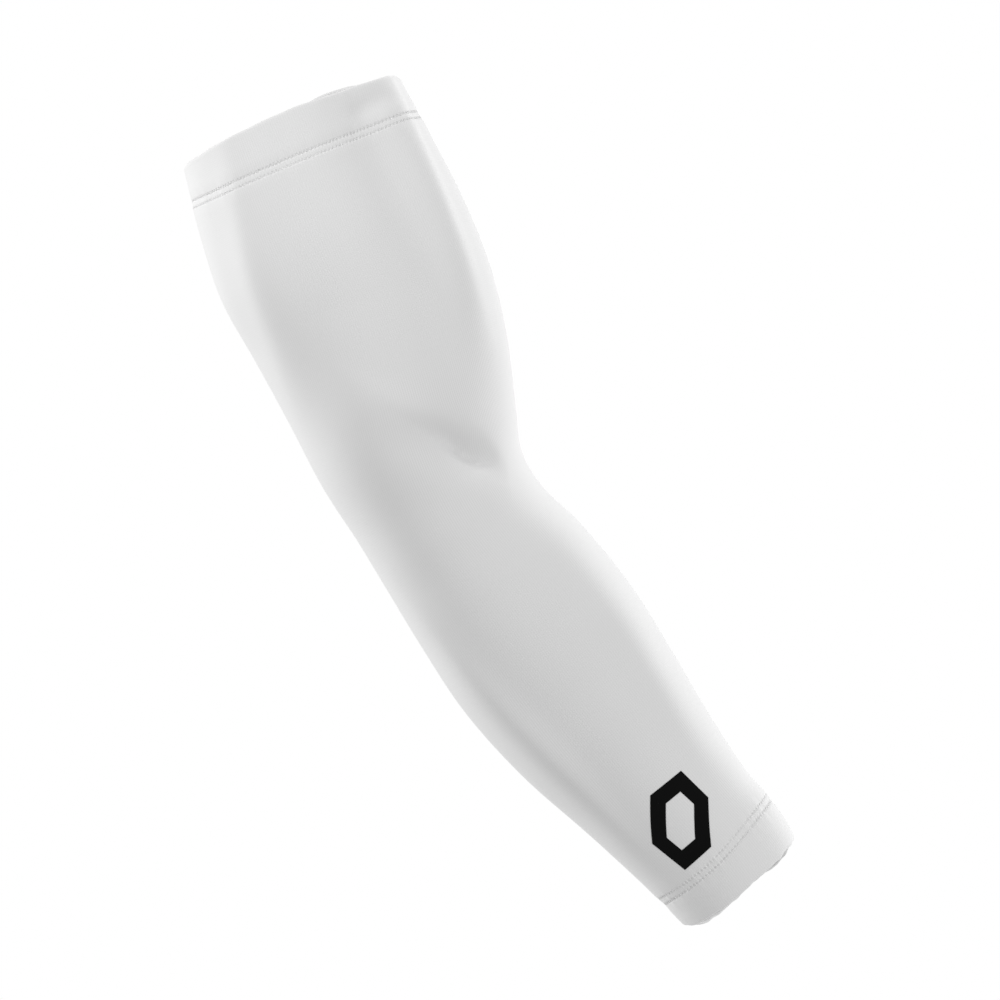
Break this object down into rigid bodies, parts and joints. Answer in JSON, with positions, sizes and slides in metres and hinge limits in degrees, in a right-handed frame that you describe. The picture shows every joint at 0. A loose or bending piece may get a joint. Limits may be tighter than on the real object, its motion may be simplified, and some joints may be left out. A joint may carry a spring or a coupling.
{
  "type": "compression arm sleeve",
  "caption": "Knit compression sleeve for an arm in its worn form, with a slightly bent elbow, a folded and stitched hem at each opening and a plain print near the wrist.",
  "frame": {"origin": "centre of the upper-arm opening", "axes": "+Z out of the upper-arm opening, towards the shoulder; the forearm leans towards +X; the face with the print looks along -Y"},
  "size_m": [0.1496, 0.1064, 0.4283],
  "materials": {
    "knit": "smooth white polyester and elastane jersey, matte",
    "print": "heat-transfer film, flat black"
  },
  "bodies": {
    "root": {"sleeve_body": "knit", "bicep_hem": "knit", "wrist_hem": "knit", "wrist_mark": "print"}
  },
  "joints": []
}
